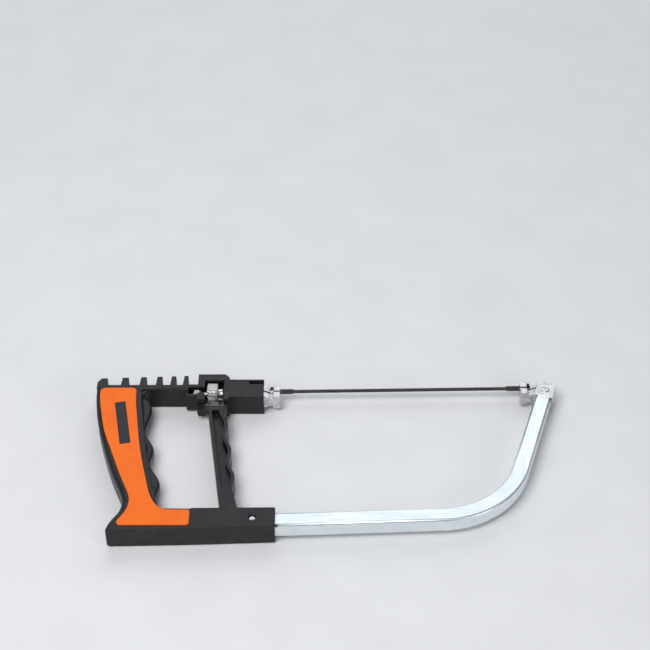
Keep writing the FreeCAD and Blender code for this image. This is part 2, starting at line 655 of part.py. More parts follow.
plate_top = inlay_top + size("plate_proud")
plate_low = plate_top - size("plate_thickness")
plate_bed = turned_plate(size("inlay_clearance"), plate_low - size("fit_clearance"), plate_top + 1)
head_low = plate_low - size("fit_clearance") - size("screw_head_depth")
head_bore = Part.makeCylinder(size("screw_head_radius") + size("fit_clearance"),
                              inlay_top - head_low, vector(*plate_centre, head_low))
barrel_bore = Part.makeCylinder(size("sleeve_nut_radius") + size("fit_clearance"),
                                size("inlay_thickness") + 1,
                                vector(*plate_centre, inlay_floor - 0.5))
inlay = inlay_slab(0.0, inlay_floor, inlay_top)
inlay = inlay.makeFillet(size("inlay_round"), edges_at(inlay, inlay_top))
inlay = inlay.cut(plate_bed).cut(head_bore).cut(barrel_bore)
mid_plane = vector(0, 0, 1)
piece(shaped("grip_inlay_front", inlay), "grip_inlay_front")
piece(shaped("grip_inlay_back", inlay.mirror(vector(0, 0), mid_plane)), "grip_inlay_back")
nameplate = turned_plate(0.0, plate_low, plate_top)
piece(shaped("nameplate_front", nameplate), "nameplate_front")
piece(shaped("nameplate_back", nameplate.mirror(vector(0, 0), mid_plane)), "nameplate_back")


# ---------------------------------------------------------------- turned pieces

def plane_of(body, role):
    for feature in body.Origin.OriginFeatures:
        if feature.Role == role:
            return feature
    raise ValueError(role)


def outline_sketch(body, role, points):
    """Closed straight-edged sketch. Each corner is two expressions, and none is negative."""
    sketch = body.newObject("Sketcher::SketchObject", "Outline")
    sketch.AttachmentSupport = (plane_of(body, role), "")
    sketch.MapMode = "FlatFace"
    values = [tuple(float(sheet.evalExpression(cell(part) + " + 0")) for part in point)
              for point in points]
    corners = [vector(*value) for value in values]
    for first, second in zip(corners, corners[1:] + corners[:1]):
        sketch.addGeometry(Part.LineSegment(first, second), False)
    count = len(points)
    for index in range(count):
        following = (index + 1) % count
        sketch.addConstraint(Sketcher.Constraint("Coincident", index, 2, following, 1))
    for index, (point, value) in enumerate(zip(points, values)):
        for kind, axis_line, expression, number in (
                ("DistanceX", -2, point[0], value[0]), ("DistanceY", -1, point[1], value[1])):
            if expression == "0":
                sketch.addConstraint(Sketcher.Constraint("PointOnObject", index, 1, axis_line))
                continue
            place = sketch.addConstraint(Sketcher.Constraint(kind, -1, 1, index, 1, number))
            sketch.setExpression(f"Constraints[{place}]", cell(expression))
    return sketch


def turned(name, points):
    """Body turned about the X axis from a half section of (x, radius) corners."""
    body = doc.addObject("PartDesign::Body", name)
    sketch = outline_sketch(body, "XY_Plane", points)
    revolution = body.newObject("PartDesign::Revolution", "Turned")
    revolution.Profile = sketch
    revolution.ReferenceAxis = (sketch, ["H_Axis"])
    revolution.Angle = FULL_TURN
    doc.recompute()
    return body


def place_piece(body, label, x, y, z="0"):
    """Finished body at a place in the saw, all three values are expressions about the mid-plane."""
    body.Label = label
    at(body, f"[datum_x] + {x}", f"[datum_y] + {y}",
       f"[body_thickness] / 2 + [inlay_proud] + {z}")
    PIECES.append(body)
    return body


NUT_BORE = "[rod_radius] + [thread_clearance]"
NUT_END = "[nut_length] + [collar_length]"
nut = turned("Nut", [
    ("0", NUT_BORE), ("0", "[nut_radius] - [nut_chamfer]"), ("[nut_chamfer]", "[nut_radius]"),
    ("[nut_length] - [nut_chamfer]", "[nut_radius]"),
    ("[nut_length]", "[nut_radius] - [nut_chamfer]"), ("[nut_length]", "[collar_radius]"),
    (NUT_END, "[collar_radius]"), (NUT_END, NUT_BORE)])
NUT_REAR = THRUST_X + " - [washer_thickness] - [fit_clearance] - [collar_length] - [nut_length]"
place_piece(nut, "knurled_nut", NUT_REAR, "[rod_y]")

washer = turned("Washer", [
    ("0", "[rod_radius] + [rod_clearance]"), ("0", "[washer_radius]"),
    ("[washer_thickness]", "[washer_radius]"),
    ("[washer_thickness]", "[rod_radius] + [rod_clearance]")])
place_piece(washer, "thrust_washer", THRUST_X + " - [washer_thickness]", "[rod_y]")

ROD_REAR = NUT_REAR + " - [rod_overhang]"
SLIDE_REAR = THRUST_X + " + [thrust_wall] + [slide_reserve]"
ROD_LENGTH = f"({SLIDE_REAR}) + [rod_depth] - ({ROD_REAR})"
GROOVE_RADIUS = "[rod_radius] - [groove_depth]"
GROOVE_START = "[clip_inset]"
GROOVE_END = "[clip_inset] + [clip_thickness] + 2 * [fit_clearance]"
rod = turned("Rod", [
    ("0", "0"), ("0", GROOVE_RADIUS), ("[groove_depth]", "[rod_radius]"),
    (GROOVE_START, "[rod_radius]"),
    (GROOVE_START, GROOVE_RADIUS), (GROOVE_END, GROOVE_RADIUS), (GROOVE_END, "[rod_radius]"),
    (ROD_LENGTH, "[rod_radius]"), (ROD_LENGTH, "0")])
ROD_PIN_X = f"{SLIDE_REAR} + [rod_depth] / 2"
doc.recompute()
rod_pin_hole = upright("rod_pin_hole", f"{ROD_PIN_X} - ({ROD_REAR})", "0",
                       "[rod_pin_radius] + [fit_clearance]", "[slide_thickness]")
place_piece(cut("rod_cut", rod, rod_pin_hole), "tension_rod", ROD_REAR, "[rod_y]")

clip = turned("Clip", [
    ("0", f"{GROOVE_RADIUS} + [fit_clearance]"), ("0", "[clip_radius]"),
    ("[clip_thickness]", "[clip_radius]"),
    ("[clip_thickness]", f"{GROOVE_RADIUS} + [fit_clearance]")])
place_piece(clip, "rod_end_clip", f"{ROD_REAR} + {GROOVE_START} + [fit_clearance]", "[rod_y]")

rod_pin = upright("rod_pin", "0", "0", "[rod_pin_radius]", "[slide_thickness] / 2")
place_piece(rod_pin, "rod_pin", ROD_PIN_X, "[rod_y]", "-[slide_thickness] / 2")


def upended(body, label, x, y, z):
    """Turned body stood on end, its start uppermost."""
    body.Placement = FreeCAD.Placement(
        vector(0, 0), FreeCAD.Rotation(FreeCAD.Vector(0, 1, 0), QUARTER_TURN))
    return place_piece(body, label, x, y, z)


# The screw comes up from the lower inlay into the barrel of the nut in the upper inlay.
HEAD_TOP = ("([body_thickness] / 2 + [inlay_proud] + [plate_proud] - [plate_thickness]"
            " - [fit_clearance])")
HEAD_SPAN = "2 * " + HEAD_TOP
BARREL_END = "[screw_head_depth] + [sleeve_nut_length]"
inlay_nut = turned("InlayNut", [
    ("0", "0"), ("0", "[screw_head_radius]"), ("[screw_head_depth]", "[screw_head_radius]"),
    ("[screw_head_depth]", "[sleeve_nut_radius]"), (BARREL_END, "[sleeve_nut_radius]"),
    (BARREL_END, "[screw_radius] + [fit_clearance]"),
    ("[screw_head_depth] + [screw_room]", "[screw_radius] + [fit_clearance]"),
    ("[screw_head_depth] + [screw_room]", "0")])
upended(inlay_nut, "inlay_nut", SCREW_X, SCREW_Y, HEAD_TOP)
SHANK_END = f"{HEAD_SPAN} - [screw_head_depth] - [screw_gap]"
inlay_screw = turned("InlayScrew", [
    ("0", "0"), ("0", "[screw_radius]"),
    (f"{SHANK_END} - [screw_head_depth]", "[screw_radius]"),
    (f"{SHANK_END} - [screw_head_depth]", "[screw_head_radius]"),
    (SHANK_END, "[screw_head_radius]"), (SHANK_END, "0")])
upended(inlay_screw, "inlay_screw", SCREW_X, SCREW_Y, f"{HEAD_TOP} - [screw_head_depth] - [screw_gap]")


# ---------------------------------------------------------------- blade holders

half_height = size("slide_height") / 2
half_thick = size("slide_thickness") / 2


def side_profile(points):
    """Plate across the saw from (x, z) corners of its upper half, mirrored below."""
    lower = [(x, -z) for x, z in reversed(points)]
    corners = points + lower
    corners.append(corners[0])
    edges = [Part.makeLine(vector(x1, -200, z1), vector(x2, -200, z2))
             for (x1, z1), (x2, z2) in zip(corners, corners[1:])]
    return Part.Face(Part.Wire(edges)).extrude(vector(0, 400, 0))


def slot_box(x_low, x_high, y_low, y_high, z_low, z_high):
    return Part.makeBox(x_high - x_low, y_high - y_low, z_high - z_low,
                        vector(x_low, y_low, z_low))


def slots(x_low, x_high, centre_y):
    """Blade slot from the outer edge, and cross slots from both faces for a turned blade."""
    half_slot = size("slot_width") / 2
    outer = centre_y + half_height
    cross = centre_y
    return [
        slot_box(x_low, x_high, outer - size("slot_depth"), outer + 1, -half_slot, half_slot),
        slot_box(x_low, x_high, cross - half_slot, cross + half_slot,
                 half_thick - size("cross_slot_depth"), half_thick + 1),
        slot_box(x_low, x_high, cross - half_slot, cross + half_slot,
                 -half_thick - 1, -half_thick + size("cross_slot_depth")),
    ]


def rear_holder():
    """Square slide bar that ends in a sloping arm, the pin seat and the slotted post."""
    y = size("slide_y")
    top = y + half_height
    low = y - half_height
    post_front = rear_post_rear + size("post_length")
    seat_x = size("rear_pin_x") - size("seat_inset")
    arm_x = sleeve_mouth + 0.3
    outline = plate([(slide_rear, low), (post_front, low), (post_front, top),
                     (rear_post_rear, top),
                     (rear_post_rear, top - size("rear_seat_drop") + size("seat_rise")),
                     (seat_x, top - size("rear_seat_drop")), (arm_x, top), (slide_rear, top)],
                    half_thick)
    sides = side_profile([(slide_rear, half_thick), (arm_x, half_thick),
                          (seat_x, half_thick - size("side_seat_drop")),
                          (rear_post_rear, half_thick - size("side_seat_drop") + size("seat_rise")),
                          (rear_post_rear, half_thick), (post_front, half_thick)])
    body = outline.common(sides)
    for slot in slots(seat_x - size("cross_slot_length"), post_front + 1, y):
        body = body.cut(slot)
    rod_hole = Part.makeCylinder(size("rod_radius") + size("fit_clearance"),
                                 size("rod_depth") + size("fit_clearance"),
                                 vector(slide_rear, size("rod_y")), vector(1, 0))
    pin_hole = Part.makeCylinder(size("rod_pin_radius") + size("fit_clearance"),
                                 2 * half_thick + 2,
                                 vector(slide_rear + size("rod_depth") / 2, size("rod_y"),
                                        -half_thick - 1))
    return body.cut(rod_hole).cut(pin_hole)


piece(shaped("rear_holder", rear_holder()), "rear_holder")

# The saddle stands on the bow's leg, so it is drawn upright about its own foot and leaned.
leg_lean = math.radians(size("bow_lean"))
saddle_half = size("bow_size") / 2 + size("saddle_wall")
arm_end = front_post_front + size("arm_length")
leg_x = arm_end + saddle_half / math.cos(leg_lean)


def on_leg(rise):
    """Point of the leg's centre line, measured along it from the front post's height."""
    return vector(leg_x + rise * math.sin(leg_lean),
                  size("front_post_y") + rise * math.cos(leg_lean))


saddle_top = size("saddle_rise") / math.cos(leg_lean)
bow_end = saddle_top - size("saddle_cap")


def on_leg_box(half, low, high, half_z, corner=0.0):
    """Box along the leg between two heights, with its long edges rounded."""
    solid = Part.makeBox(2 * half, high - low, 2 * half_z, vector(-half, low, -half_z))
    if corner:
        solid = solid.makeFillet(corner, [edge for edge in solid.Edges
                                          if edge.BoundBox.YLength > (high - low) * 0.99])
    solid.rotate(vector(0, 0), vector(0, 0, 1), -size("bow_lean"))
    solid.translate(on_leg(0))
    return solid


def front_holder():
    """Saddle over the bow's end, with the arm and the slotted post that hold the blade."""
    y = size("front_post_y")
    top = y + half_height
    low = y - half_height
    post_rear = front_post_front - size("post_length")
    seat_x = front_pin_x + size("seat_inset")
    slot_end = front_pin_x + size("blade_end") + size("slide_travel") + size("blade_room")
    inner = arm_end + 3.0
    arm_top = top - size("arm_drop")
    outline = plate([(post_rear, low), (inner, low), (inner, arm_top), (arm_end, arm_top),
                     (seat_x, top - size("front_seat_drop")),
                     (front_post_front, top - size("front_seat_drop") + size("seat_rise")),
                     (front_post_front, top), (post_rear, top)], half_thick)
    sides = side_profile([(post_rear, half_thick), (front_post_front, half_thick),
                          (front_post_front,
                           half_thick - size("side_seat_drop") + size("seat_rise")),
                          (seat_x, half_thick - size("side_seat_drop")),
                          (arm_end, half_thick), (inner, half_thick)])
    saddle = on_leg_box(saddle_half, saddle_top - size("saddle_height"), saddle_top, saddle_half)
    body = saddle.fuse(outline.common(sides))
    hollow_half = size("bow_size") / 2 + size("fit_clearance")
    hollow = on_leg_box(hollow_half, saddle_top - size("saddle_height") - 1, bow_end, hollow_half,
                        size("bow_corner"))
    body = body.cut(hollow)
    for slot in slots(post_rear - 1, slot_end, y):
        body = body.cut(slot)
    return body.cut(rivet_hole(saddle_half + 1))


rivet_place = on_leg(saddle_top - size("saddle_height") / 2 - 0.8)


def rivet_hole(half):
    radius = size("rivet_radius") + size("fit_clearance")
    return Part.makeCylinder(radius, 2 * half, rivet_place + vector(0, 0, -half))


piece(shaped("front_holder", front_holder()), "front_holder")


def rivet():
    """Shank through saddle and bow with a low round head on each side."""
    head_radius = size("rivet_radius") + size("rivet_rim")
    shank = Part.makeCylinder(size("rivet_radius"), 2 * saddle_half,
                              rivet_place + vector(0, 0, -saddle_half))
    upper = Part.makeCylinder(head_radius, size("rivet_head"),
                              rivet_place + vector(0, 0, saddle_half + size("fit_clearance")))
    neck = Part.makeCylinder(size("rivet_radius"), 2 * (saddle_half + size("rivet_head")),
                             rivet_place + vector(0, 0, -saddle_half - size("rivet_head")))
    lower = upper.mirror(vector(0, 0), vector(0, 0, 1))
    return shank.fuse([neck, upper, lower]).removeSplitter()


piece(shaped("front_rivet", rivet()), "front_rivet")


# ---------------------------------------------------------------- bow

slope = math.radians(size("bow_slope"))
lower_way = vector(math.cos(slope), math.sin(slope))
leg_way = vector(math.sin(leg_lean), math.cos(leg_lean))
mouth = vector(size("socket_x"), bow_mouth_y)
to_leg = on_leg(0) - mouth
corner_run = ((to_leg.x * leg_way.y - to_leg.y * leg_way.x)
              / (lower_way.x * leg_way.y - lower_way.y * leg_way.x))
bow_corner_point = mouth + lower_way * corner_run
bend_reach = size("bow_bend") * math.tan(math.radians(bow_turn) / 2)


def bow_path():
    """Lower run, bend and leading leg as one tangent line."""
    start = mouth - lower_way * size("bow_depth")
    bend_start = bow_corner_point - lower_way * bend_reach
    bend_end = bow_corner_point + leg_way * bend_reach
    inward = vector(-lower_way.y, lower_way.x)
    centre = bend_start + inward * size("bow_bend")
    middle_way = (bow_corner_point - centre).normalize()
    middle = centre + middle_way * size("bow_bend")
    return Part.Wire([Part.makeLine(start, bend_start),
                      Part.Arc(bend_start, middle, bend_end).toShape(),
                      Part.makeLine(bend_end, on_leg(bow_end - size("fit_clearance")))])


def square_section(half, corner):
    """Rounded square across the start of the bow."""
    points = [(-half + corner, -half), (half - corner, -half), (half, -half + corner),
              (half, half - corner), (half - corner, half), (-half + corner, half),
              (-half, half - corner), (-half, -half + corner)]
    bulge = corner * (1 - math.sqrt(0.5))
    middles = [(half - bulge, -half + bulge), (half - bulge, half - bulge),
               (-half + bulge, half - bulge), (-half + bulge, -half + bulge)]
    start = mouth - lower_way * size("bow_depth")
    across = vector(-lower_way.y, lower_way.x)

    def place(point):
        return start + across * point[0] + vector(0, 0, point[1])

    edges = []
    for side in range(4):
        first = place(points[2 * side])
        second = place(points[2 * side + 1])
        third = place(points[(2 * side + 2) % 8])
        edges.append(Part.makeLine(first, second))
        edges.append(Part.Arc(second, place(middles[side]), third).toShape())
    return Part.Wire(edges)


def bow_tube():
    """Square tube swept along the path, with its pin and rivet holes."""
    half = size("bow_size") / 2
    path = bow_path()
    outer = path.makePipeShell([square_section(half, size("bow_corner"))], True, False)
    inner_half = half - size("bow_wall")
    inner = path.makePipeShell([square_section(inner_half, 0.6)], True, False)
    tube = outer.cut(inner)
    pin_hole = Part.makeCylinder(size("bow_pin_radius") + size("fit_clearance"), 4 * half,
                                 vector(bow_pin_x, bow_pin_y, -2 * half))
    return tube.cut(pin_hole).cut(rivet_hole(2 * half))


piece(shaped("bow", bow_tube()), "bow")
bow_pin = upright("bow_pin", "0", "0", "[bow_pin_radius]",
                  "[body_thickness] / 2 - [bow_pin_recess]")
place_piece(bow_pin, "bow_pin", BOW_PIN_X, BOW_PIN_Y,
            "-([body_thickness] / 2 - [bow_pin_recess])")


# ---------------------------------------------------------------- blade

def blade():
    """Flat blade with plain pinned ends and pointed teeth between them, along its own X axis."""
    rear = -size("blade_end")
    front = size("pin_pitch") + size("blade_end")
    half_tab = size("tab_height") / 2
    first = rear + size("tab_length")
    last = front - size("tab_length")
    gullet = size("tab_height") / 2 - 0.5 - size("tooth_depth")
    count = int((last - first) / size("tooth_pitch"))
    points = [(rear, -half_tab), (first - 2.0, -half_tab), (first, -size("back_height")),
              (last, -size("back_height")), (last + 2.0, -half_tab), (front, -half_tab),
              (front, half_tab), (last + 1.0, half_tab)]
    pitch = (last - first) / count
    for index in range(count):
        tooth = last - index * pitch
        points.append((tooth, gullet))
        points.append((tooth - pitch * 0.75, gullet + size("tooth_depth")))
    points.append((first, gullet))
    points.append((first - 1.0, half_tab))
    points.append((rear, half_tab))
    body = plate(points, size("blade_thickness") / 2)
    for x in (0.0, size("pin_pitch")):
        hole = Part.makeCylinder(size("pin_radius") + size("fit_clearance"), 4.0,
                                 vector(x, 0, -2.0))
        body = body.cut(hole)
    turn = FreeCAD.Placement(vector(size("rear_pin_x"), blade_rear_y),
                             FreeCAD.Rotation(vector(0, 0, 1), blade_angle))
    body.Placement = turn
    return body


piece(shaped("blade", blade()), "blade")
REAR_PIN_Y = "[slide_y] + [slide_height] / 2 - [blade_drop]"
FRONT_PIN_Y = "[front_post_y] + [slide_height] / 2 - [blade_drop]"
BLADE_RISE = "([front_post_y] - [slide_y])"
FRONT_PIN_X = f"[rear_pin_x] + sqrt([pin_pitch] ^ 2 - {BLADE_RISE} ^ 2)"
for label, pin_x, pin_y in (("blade_pin_rear", "[rear_pin_x]", REAR_PIN_Y),
                            ("blade_pin_front", FRONT_PIN_X, FRONT_PIN_Y)):
    pin = upright(label, "0", "0", "[pin_radius]", "[pin_length] / 2")
    place_piece(pin, label, pin_x, pin_y, "-[pin_length] / 2")


# ---------------------------------------------------------------- check and write

doc.recompute()
for feature in doc.Objects:
    if "Invalid" in feature.State or "Error" in feature.State:
        raise RuntimeError(f"{feature.Name} failed: {feature.State}")
for feature in PIECES:
    if feature.Shape.isNull() or not feature.Shape.isValid():
        raise RuntimeError(f"{feature.Label} has no valid shape")
os.makedirs("parts", exist_ok=True)
for feature in PIECES:
    feature.Shape.exportStep(os.path.join("parts", feature.Label + ".step"))
    bounds = feature.Shape.BoundBox
    print(feature.Label, len(feature.Shape.Solids), round(feature.Shape.Volume),
          [round(value, 2) for value in (bounds.XMin, bounds.XMax, bounds.YMin, bounds.YMax,
                                         bounds.ZMin, bounds.ZMax)])
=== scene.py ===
import json
import math

import bpy
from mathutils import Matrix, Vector


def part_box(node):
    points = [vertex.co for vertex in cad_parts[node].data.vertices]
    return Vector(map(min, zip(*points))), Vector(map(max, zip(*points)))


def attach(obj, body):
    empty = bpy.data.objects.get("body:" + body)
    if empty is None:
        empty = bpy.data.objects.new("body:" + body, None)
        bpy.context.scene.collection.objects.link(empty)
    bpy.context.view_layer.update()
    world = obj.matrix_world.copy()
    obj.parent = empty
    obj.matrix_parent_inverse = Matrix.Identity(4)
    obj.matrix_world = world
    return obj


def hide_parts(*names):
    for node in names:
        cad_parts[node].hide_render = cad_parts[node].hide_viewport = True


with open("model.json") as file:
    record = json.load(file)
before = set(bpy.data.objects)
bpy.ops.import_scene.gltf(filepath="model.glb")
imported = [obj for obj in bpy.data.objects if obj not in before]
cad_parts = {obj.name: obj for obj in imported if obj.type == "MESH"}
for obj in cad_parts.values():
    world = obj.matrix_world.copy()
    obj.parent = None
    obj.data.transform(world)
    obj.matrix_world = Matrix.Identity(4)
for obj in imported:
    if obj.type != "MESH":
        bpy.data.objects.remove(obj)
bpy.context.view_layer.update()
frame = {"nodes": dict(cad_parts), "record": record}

# A pinned-blade hacksaw lying on its side. X runs along the blade, Y across the saw from the
# bow to the blade, Z is its thickness. Shapes below are written in millimetres.

MM = 0.001
FULL_TURN = 2 * math.pi
NODE_BODY = {name: body for body, names in frame["record"]["behaviour"]["bodies"].items()
             for name in names}
NODE_SLOT = {row["node"]: row["material_slot"] for row in frame["record"]["subparts"]}


def centre_of(node):
    low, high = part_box(node)
    return (low + high) / 2 / MM


def span_of(node):
    low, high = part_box(node)
    return (high - low) / MM


# ---------------------------------------------------------------- materials

class Surface:
    """A procedural material on the object's own coordinates, in metres."""

    def __init__(self, name, metallic=0.0, specular=0.5, coat=0.0, coat_roughness=0.2):
        self.material = bpy.data.materials.new(name)
        self.material.use_nodes = True
        tree = self.material.node_tree
        self.nodes, self.links = tree.nodes, tree.links
        self.shader = self.nodes["Principled BSDF"]
        self.shader.inputs["Metallic"].default_value = metallic
        self.shader.inputs["Specular IOR Level"].default_value = specular
        self.shader.inputs["Coat Weight"].default_value = coat
        self.shader.inputs["Coat Roughness"].default_value = coat_roughness
        self.place = self.nodes.new("ShaderNodeTexCoord").outputs["Object"]

    def join(self, output, target):
        self.links.new(output, target)

    def mapped(self, stretch=(1, 1, 1), turn=0.0):
        """Coordinates turned about Z and then stretched."""
        turned = self.nodes.new("ShaderNodeVectorRotate")
        turned.rotation_type = "Z_AXIS"
        turned.inputs["Angle"].default_value = turn
        self.join(self.place, turned.inputs["Vector"])
        scaled = self.nodes.new("ShaderNodeVectorMath")
        scaled.operation = "MULTIPLY"
        scaled.inputs[1].default_value = stretch
        self.join(turned.outputs["Vector"], scaled.inputs[0])
        return scaled.outputs["Vector"]

    def noise(self, per_mm, detail=2.0, stretch=(1, 1, 1), turn=0.0, distortion=0.0):
        """Noise with so many features to the millimetre."""
        node = self.nodes.new("ShaderNodeTexNoise")
        node.inputs["Scale"].default_value = per_mm / MM
        node.inputs["Detail"].default_value = detail
        node.inputs["Distortion"].default_value = distortion
        self.join(self.mapped(stretch, turn), node.inputs["Vector"])
        return node.outputs["Fac"]

    def pits(self, per_mm):
        node = self.nodes.new("ShaderNodeTexVoronoi")
        node.inputs["Scale"].default_value = per_mm / MM
        self.join(self.place, node.inputs["Vector"])
        return node.outputs["Distance"]

    def ranged(self, value, low, high, start=0.3, end=0.7):
        node = self.nodes.new("ShaderNodeMapRange")
        node.interpolation_type = "SMOOTHSTEP"
        for socket, number in (("From Min", start), ("From Max", end),
                               ("To Min", low), ("To Max", high)):
            node.inputs[socket].default_value = number
        self.join(value, node.inputs["Value"])
        return node.outputs["Result"]

    def mixed(self, share, first, second):
        """Colours mixed by a share, each a plain colour or another output."""
        node = self.nodes.new("ShaderNodeMix")
        node.data_type = "RGBA"
        self.join(share, node.inputs["Factor"])
        for index, value in ((6, first), (7, second)):
            if isinstance(value, tuple):
                node.inputs[index].default_value = (*value, 1.0)
            else:
                self.join(value, node.inputs[index])
        return node.outputs[2]

    def blended(self, share, first, second):
        """Numbers mixed by a share."""
        node = self.nodes.new("ShaderNodeMix")
        self.join(share, node.inputs[0])
        self.join(first, node.inputs[2])
        self.join(second, node.inputs[3])
        return node.outputs[0]

    def edge_share(self, reach):
        """Near 1 on rounded and sharp edges, 0 on flats; the materials use it for rubbed edges and for
        painted edge highlights.
        """
        bevel = self.nodes.new("ShaderNodeBevel")
        bevel.samples = 6
        bevel.inputs["Radius"].default_value = reach * MM
        geometry = self.nodes.new("ShaderNodeNewGeometry")
        dot = self.nodes.new("ShaderNodeVectorMath")
        dot.operation = "DOT_PRODUCT"
        self.join(bevel.outputs["Normal"], dot.inputs[0])
        self.join(geometry.outputs["Normal"], dot.inputs[1])
        return self.ranged(dot.outputs["Value"], 1.0, 0.0, start=0.86, end=0.995)

    def axis(self, index):
        node = self.nodes.new("ShaderNodeSeparateXYZ")
        self.join(self.place, node.inputs[0])
        return node.outputs[index]

    def colour(self, output):
        self.join(output, self.shader.inputs["Base Color"])

    def roughness(self, output):
        self.join(output, self.shader.inputs["Roughness"])

    def bumps(self, *layers):
        """Height layers as (output, strength, depth in mm)."""
        last = None
        for output, strength, depth in layers:
            node = self.nodes.new("ShaderNodeBump")
            node.inputs["Strength"].default_value = strength
            node.inputs["Distance"].default_value = depth * MM
            self.join(output, node.inputs["Height"])
            if last is not None:
                self.join(last, node.inputs["Normal"])
            last = node.outputs["Normal"]
        self.join(last, self.shader.inputs["Normal"])


def black_casting():
    """Satin black coat on a die casting: fine orange peel, faint mottle, paler edges that are partly
    rubbed paint and partly a painted edge highlight.
    """
    look = Surface("satin_black_casting", specular=0.38)
    mottle = look.noise(0.09, detail=4.0)
    base = look.mixed(look.ranged(mottle, 0, 1), (0.0085, 0.0078, 0.0092), (0.0150, 0.0140, 0.0162))
    patchy = look.noise(0.35, detail=5.0)
    # Paler edges: a painted edge highlight, broken up by patchy noise as rubbed paint.
    edge_wear_and_highlight = look.nodes.new("ShaderNodeMath")
    edge_wear_and_highlight.operation = "MULTIPLY"
    look.join(look.edge_share(0.45), edge_wear_and_highlight.inputs[0])
    look.join(look.ranged(patchy, 0.10, 0.75, start=0.42, end=0.66), edge_wear_and_highlight.inputs[1])
    look.colour(look.mixed(edge_wear_and_highlight.outputs[0], base, (0.075, 0.072, 0.078)))
    look.roughness(look.ranged(look.noise(0.5, detail=3.0), 0.34, 0.47))
    look.bumps((look.noise(2.2, detail=2.0), 0.22, 0.05), (look.noise(0.12, detail=2.0), 0.15, 0.25))
    return look.material


def orange_inlay():
    """Smooth moulded plastic: very fine grain, slight flow mottle, paler edges that are a painted
    highlight.
    """
    look = Surface("moulded_orange", specular=0.30)
    flow = look.noise(0.05, detail=3.0, distortion=0.6)
    base = look.mixed(look.ranged(flow, 0, 1), (0.93, 0.150, 0.0020), (0.99, 0.172, 0.0030))
    # Painted highlight: the inlay's rounded edges are mixed towards a paler orange.
    rim = look.ranged(look.edge_share(0.5), 0.0, 0.45, start=0.0, end=1.0)
    look.colour(look.mixed(rim, base, (1.0, 0.26, 0.012)))
    look.roughness(look.ranged(look.noise(0.8, detail=3.0), 0.36, 0.46))
    look.bumps((look.noise(4.0, detail=2.0), 0.12, 0.03), (look.noise(0.06, detail=1.0), 0.12, 0.4))
    return look.material


def plate_plastic():
    """Dark smooth plate with a faint mottle."""
    look = Surface("dark_plate", specular=0.35)
    look.colour(look.mixed(look.ranged(look.noise(0.3, detail=3.0), 0, 1),
                           (0.012, 0.010, 0.0145), (0.020, 0.017, 0.024)))
    look.roughness(look.ranged(look.noise(1.1, detail=3.0), 0.30, 0.44))
    look.bumps((look.noise(3.0, detail=2.0), 0.15, 0.03))
    return look.material


LEG_LEAN = math.radians(17.7)


def plated_bow():
    """Bright zinc-plated bar: drawing lines along the bar, soft cloudy patches."""
    look = Surface("plated_bar", metallic=1.0)
    lower = look.noise(1.6, detail=3.0, stretch=(0.05, 1, 1))
    leg = look.noise(1.6, detail=3.0, stretch=(1, 0.05, 1), turn=LEG_LEAN)
    in_leg = look.ranged(look.axis(1), 0.0, 1.0, start=-0.058, end=-0.020)
    lines = look.blended(in_leg, lower, leg)
    cloud = look.noise(0.06, detail=4.0, distortion=0.4)
    base = look.mixed(look.ranged(cloud, 0, 1), (0.80, 0.87, 0.90), (0.90, 0.94, 0.95))
    look.colour(look.mixed(look.ranged(lines, 0.0, 0.25), base, (0.68, 0.74, 0.79)))
    look.roughness(look.ranged(lines, 0.27, 0.42))
    look.bumps((lines, 0.25, 0.02), (look.noise(0.2, detail=2.0), 0.12, 0.10))
    return look.material


def nickel_casting():
    """Nickel-plated small casting: pitted and cloudy, brighter on its edges as a painted highlight."""
    look = Surface("nickel_casting", metallic=1.0)
    cloud = look.noise(0.45, detail=5.0)
    base = look.mixed(look.ranged(cloud, 0, 1), (0.50, 0.485, 0.51), (0.74, 0.72, 0.75))
    # Painted highlight: the edges are mixed towards a paler nickel.
    look.colour(look.mixed(look.edge_share(0.35), base, (0.88, 0.86, 0.88)))
    look.roughness(look.ranged(look.noise(0.9, detail=4.0), 0.22, 0.40))
    look.bumps((look.pits(1.1), 0.20, 0.08), (look.noise(0.5, detail=3.0), 0.35, 0.15))
    return look.material


def bright_nickel():
    """Smooth bright nickel plating with a faint tint."""
    look = Surface("bright_nickel", metallic=1.0)
    tint = look.noise(0.5, detail=3.0)
    look.colour(look.mixed(look.ranged(tint, 0, 1), (0.84, 0.83, 0.81), (0.94, 0.93, 0.92)))
    look.roughness(look.ranged(look.noise(1.4, detail=3.0), 0.14, 0.27))
    look.bumps((look.noise(3.0, detail=2.0), 0.12, 0.02))
    return look.material


def zinc_steel():
    """Zinc-plated steel with a fine cloudy grain."""
    look = Surface("zinc_steel", metallic=1.0)
    tint = look.noise(0.8, detail=4.0)
    look.colour(look.mixed(look.ranged(tint, 0, 1), (0.60, 0.605, 0.62), (0.78, 0.78, 0.79)))
    look.roughness(look.ranged(look.noise(1.8, detail=3.0), 0.20, 0.36))
    look.bumps((look.noise(2.5, detail=3.0), 0.18, 0.03))
    return look.material


def blued_steel():
    """Blade steel, blued near black, with faint paler lines along the blade."""
    look = Surface("blued_steel", metallic=0.85)
    tint = look.noise(0.12, detail=4.0)
    base = look.mixed(look.ranged(tint, 0, 1), (0.022, 0.019, 0.021), (0.050, 0.040, 0.038))
    lines = look.noise(2.5, detail=2.0, stretch=(0.04, 1, 1))
    look.colour(look.mixed(look.ranged(lines, 0.0, 0.4), base, (0.085, 0.078, 0.080)))
    look.roughness(look.ranged(lines, 0.30, 0.45))
    look.bumps((lines, 0.2, 0.02))
    return look.material


LOOKS = {
    "body_black": black_casting(),
    "inlay_orange": orange_inlay(),
    "nameplate": plate_plastic(),
    "bow_steel": plated_bow(),
    "holder_nickel": nickel_casting(),
    "nut_nickel": bright_nickel(),
    "fastener_steel": zinc_steel(),
    "blade_steel": blued_steel(),
}


